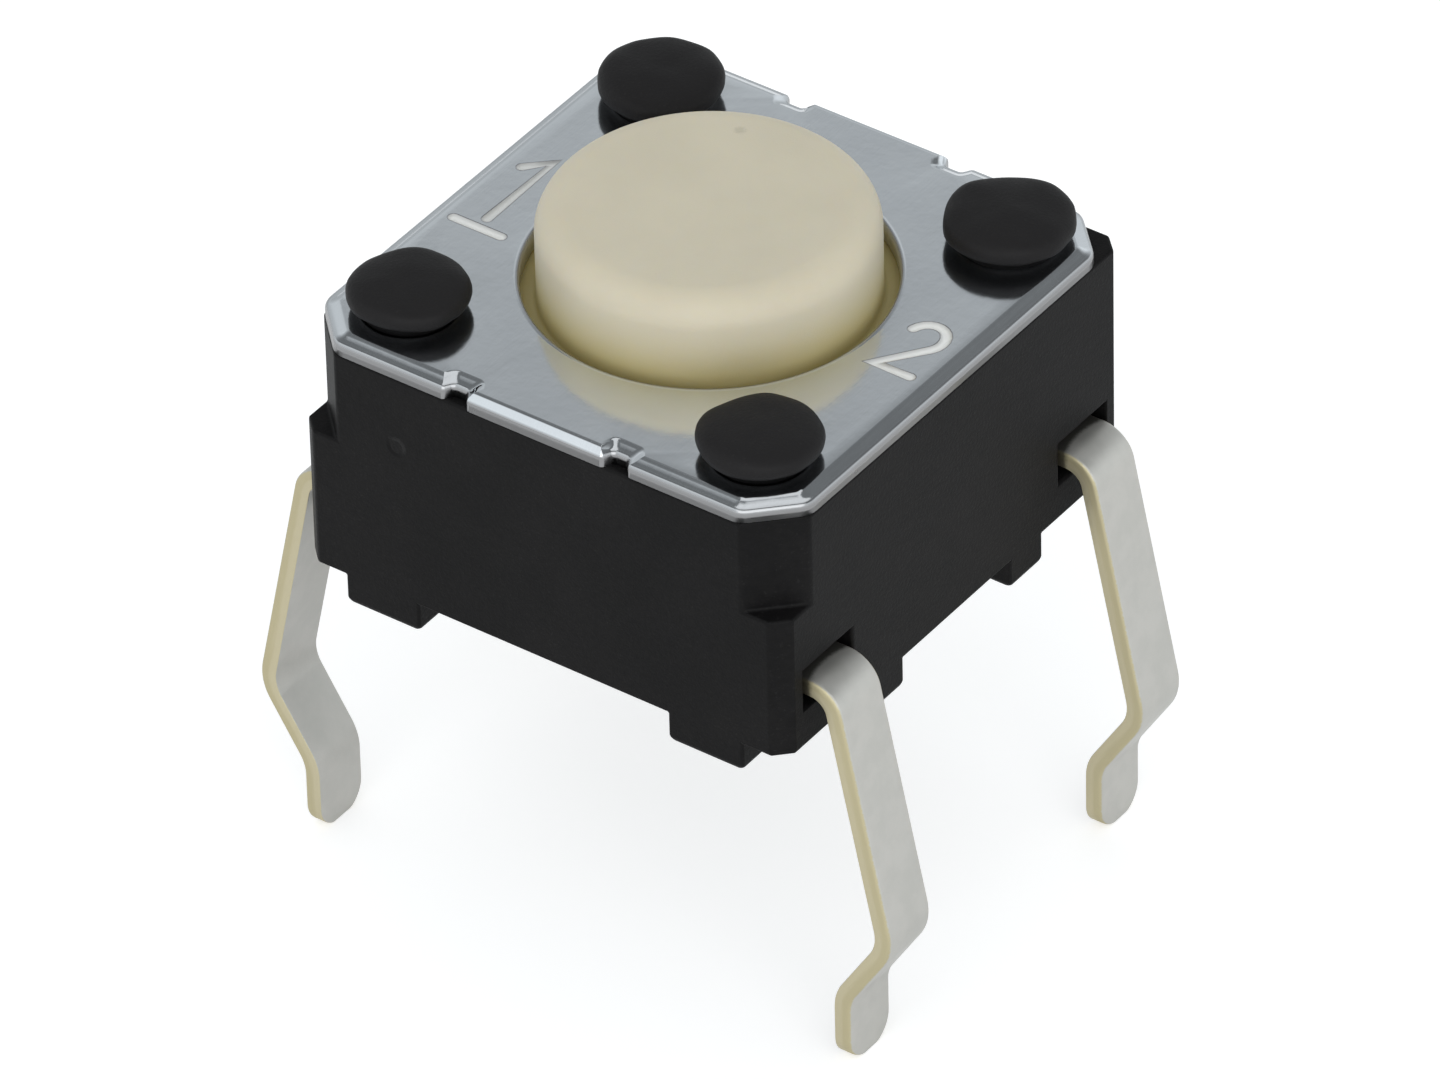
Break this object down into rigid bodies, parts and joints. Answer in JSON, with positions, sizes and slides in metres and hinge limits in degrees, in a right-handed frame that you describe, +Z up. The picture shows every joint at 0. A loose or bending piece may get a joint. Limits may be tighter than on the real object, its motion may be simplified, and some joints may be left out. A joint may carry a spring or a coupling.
{
  "type": "tactile push button switch",
  "caption": "Small square momentary push button for circuit boards, with a round plunger, steel cover plate, staked posts and bent snap-in leads.",
  "frame": {"origin": "middle of the board plane on which the feet stand", "axes": "+Z up along the plunger, X the way the leads leave the housing, Y along the leads of one side"},
  "size_m": [0.008, 0.0062, 0.0079],
  "materials": {
    "black_moulding": "fine satin moulded black",
    "cover_steel": "satin rolled sheet, stamped",
    "ivory_moulding": "fine matte ivory moulding",
    "spring_steel": "bright spring sheet",
    "tinned_brass": "matte tin over brass, bare brass on the cut edges"
  },
  "bodies": {
    "base": {"housing": "black_moulding", "cover_plate": "cover_steel", "snap_dome": "spring_steel", "centre_strip": "tinned_brass", "rim_strip": "tinned_brass"},
    "button": {"plunger": "ivory_moulding"}
  },
  "joints": [
    {"name": "plunger_press", "type": "slide", "parent": "base", "child": "button", "axis": [0, 0, -1], "range_m": [0, 0.00025], "stiffness_N_per_m": 4000, "deforming": ["snap_dome"]}
  ]
}
